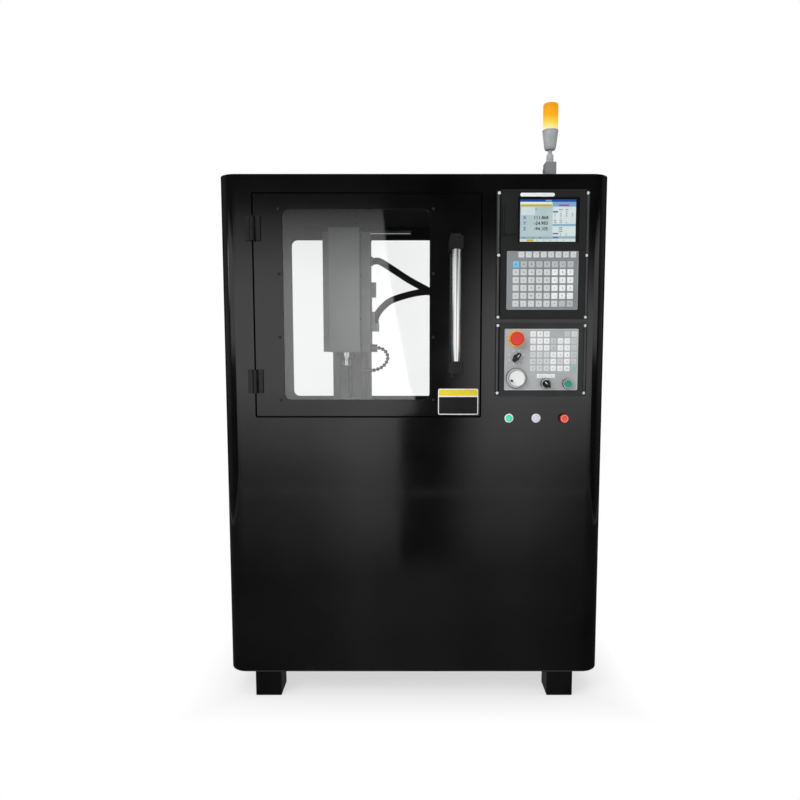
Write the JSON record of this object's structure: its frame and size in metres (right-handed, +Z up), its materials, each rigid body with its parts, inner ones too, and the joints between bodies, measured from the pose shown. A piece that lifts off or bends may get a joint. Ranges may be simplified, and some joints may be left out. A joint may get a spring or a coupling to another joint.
{
  "type": "cnc machining center",
  "caption": "Enclosed vertical machining center: dark sheet-metal cabinet on feet with a hinged glazed door, operator station, folding beacon and a small mill on slides inside.",
  "frame": {"origin": "on the floor, under the middle of the machine", "axes": "+Z up, the front with its door faces -Y, +X to the operator's right"},
  "size_m": [1.15, 0.958, 1.879],
  "materials": {
    "black_coat": "satin powder coat",
    "grey_sheet": "satin powder coat",
    "panel_coat": "satin powder coat",
    "pane": "clear polycarbonate",
    "black_rubber": "matte",
    "tray_steel": "rolled sheet",
    "black_plastic": "matte",
    "screen": "glossy",
    "pale_membrane": "fine matte membrane",
    "white_plastic": "semi-gloss",
    "yellow_plastic": "semi-gloss",
    "red_plastic": "semi-gloss",
    "teal_lens": "glossy",
    "green_lens": "glossy",
    "bright_steel": "ground",
    "handle_steel": "polished tube",
    "dark_screw": "blackened",
    "grey_casting": "painted casting",
    "grey_cover": "satin paint",
    "motor_black": "matte paint",
    "cast_aluminium": "bead blasted",
    "beacon_grey": "satin",
    "amber_lens": "ribbed, glossy",
    "hose_plastic": "satin",
    "light_strip": "opal"
  },
  "bodies": {
    "cabinet": {"front_panel": "black_coat", "side_panel_left": "black_coat", "side_panel_right": "black_coat", "rear_panel": "black_coat", "roof_panel": "black_coat", "floor_pan": "black_coat", "feet": "black_coat", "partition_wall": "grey_sheet", "control_panel_upper": "panel_coat", "control_panel_lower": "panel_coat", "rear_window": "pane", "door_seal": "black_rubber", "conduit_upper": "black_rubber", "conduit_lower": "black_rubber", "chip_tray": "tray_steel", "hinge_frame_leaves": "black_plastic", "cable_glands": "black_plastic", "display_screen": "screen", "keypad_upper": "pale_membrane", "keypad_lower": "pale_membrane", "handwheel_dial": "pale_membrane", "button_bezels": "white_plastic", "estop_ring": "yellow_plastic", "cabinet_screws": "bright_steel", "guide_rails": "bright_steel", "machine_base": "grey_casting", "column": "grey_casting", "axis_motors": "motor_black", "beacon_bracket": "beacon_grey", "work_light": "light_strip"},
    "door": {"door_panel": "black_coat", "door_window": "pane", "window_screws": "dark_screw", "handle_bar": "handle_steel", "handle_brackets": "black_plastic", "hinge_door_leaves": "black_plastic"},
    "beacon": {"beacon_stem": "beacon_grey", "beacon_lens": "amber_lens"},
    "saddle_slide": {"saddle": "grey_casting"},
    "table_slide": {"table": "grey_casting", "x_rails": "bright_steel", "x_motor": "motor_black"},
    "head_slide": {"head_body": "grey_casting", "head_cover": "grey_cover", "spindle_motor": "motor_black", "coolant_manifold": "cast_aluminium", "coolant_hose": "hose_plastic"},
    "spindle_rotor": {"spindle": "bright_steel"},
    "x_screw_rotor": {"x_screw": "bright_steel"},
    "y_screw_rotor": {"y_screw": "bright_steel"},
    "z_screw_rotor": {"z_screw": "bright_steel"},
    "handwheel_body": {"handwheel": "white_plastic"},
    "override_body": {"override_knob": "black_plastic"},
    "selector_body": {"selector_knob": "black_plastic"},
    "estop_body": {"estop_button": "red_plastic"},
    "start_body": {"start_button": "teal_lens"},
    "power_on_body": {"power_on_button": "green_lens"},
    "white_body": {"white_button": "white_plastic"},
    "power_off_body": {"power_off_button": "red_plastic"},
    "port_lid": {"port_cover": "panel_coat"}
  },
  "joints": [
    {"name": "door_swing", "type": "hinge", "parent": "cabinet", "child": "door", "pos_m": [-0.471, -0.428, 1.2], "axis": [0, 0, -1], "range_deg": [0, 110]},
    {"name": "port_cover_swing", "type": "hinge", "parent": "cabinet", "child": "port_lid", "pos_m": [0.2595, -0.4323, 1.451], "axis": [0, 0, -1], "range_deg": [0, 110]},
    {"name": "beacon_fold", "type": "hinge", "parent": "cabinet", "child": "beacon", "pos_m": [0.45, -0.144, 1.665], "axis": [-1, 0, 0], "range_deg": [0, 90]},
    {"name": "y_axis", "type": "slide", "parent": "cabinet", "child": "saddle_slide", "axis": [0, 1, 0], "range_m": [-0.07, 0.07]},
    {"name": "x_axis", "type": "slide", "parent": "saddle_slide", "child": "table_slide", "axis": [1, 0, 0], "range_m": [-0.11, 0.11]},
    {"name": "z_axis", "type": "slide", "parent": "cabinet", "child": "head_slide", "axis": [0, 0, 1], "range_m": [-0.13, 0.02], "deforming": ["conduit_upper", "conduit_lower"]},
    {"name": "spindle_spin", "type": "hinge", "parent": "head_slide", "child": "spindle_rotor", "pos_m": [-0.24, -0.044, 1.1], "axis": [0, 0, -1], "continuous": true},
    {"name": "x_screw_spin", "type": "hinge", "parent": "table_slide", "child": "x_screw_rotor", "pos_m": [-0.24, -0.044, 0.785], "axis": [1, 0, 0], "continuous": true},
    {"name": "y_screw_spin", "type": "hinge", "parent": "cabinet", "child": "y_screw_rotor", "pos_m": [-0.24, -0.044, 0.722], "axis": [0, 1, 0], "continuous": true},
    {"name": "z_screw_spin", "type": "hinge", "parent": "cabinet", "child": "z_screw_rotor", "pos_m": [-0.24, 0.098, 1.1], "axis": [0, 0, 1], "continuous": true},
    {"name": "handwheel_spin", "type": "hinge", "parent": "cabinet", "child": "handwheel_body", "pos_m": [0.303, -0.43, 0.992], "axis": [0, 1, 0], "continuous": true},
    {"name": "override_turn", "type": "hinge", "parent": "cabinet", "child": "override_body", "pos_m": [0.303, -0.43, 1.0535], "axis": [0, 1, 0], "range_deg": [-175, 95]},
    {"name": "selector_turn", "type": "hinge", "parent": "cabinet", "child": "selector_body", "pos_m": [0.39, -0.43, 0.976], "axis": [0, 1, 0], "range_deg": [0, 90]},
    {"name": "estop_press", "type": "slide", "parent": "cabinet", "child": "estop_body", "axis": [0, 1, 0], "range_m": [0, 0.005]},
    {"name": "start_press", "type": "slide", "parent": "cabinet", "child": "start_body", "axis": [0, 1, 0], "range_m": [0, 0.0035], "stiffness_N_per_m": 1000, "springref_m": -0.002},
    {"name": "power_on_press", "type": "slide", "parent": "cabinet", "child": "power_on_body", "axis": [0, 1, 0], "range_m": [0, 0.0035], "stiffness_N_per_m": 1000, "springref_m": -0.002},
    {"name": "white_press", "type": "slide", "parent": "cabinet", "child": "white_body", "axis": [0, 1, 0], "range_m": [0, 0.0035], "stiffness_N_per_m": 1000, "springref_m": -0.002},
    {"name": "power_off_press", "type": "slide", "parent": "cabinet", "child": "power_off_body", "axis": [0, 1, 0], "range_m": [0, 0.004], "stiffness_N_per_m": 1000, "springref_m": -0.002}
  ],
  "couplings": [
    {"joint": "x_screw_spin", "follows": "x_axis", "rad_per_m": 1256.6},
    {"joint": "y_screw_spin", "follows": "y_axis", "rad_per_m": 1256.6},
    {"joint": "z_screw_spin", "follows": "z_axis", "rad_per_m": 1256.6}
  ]
}
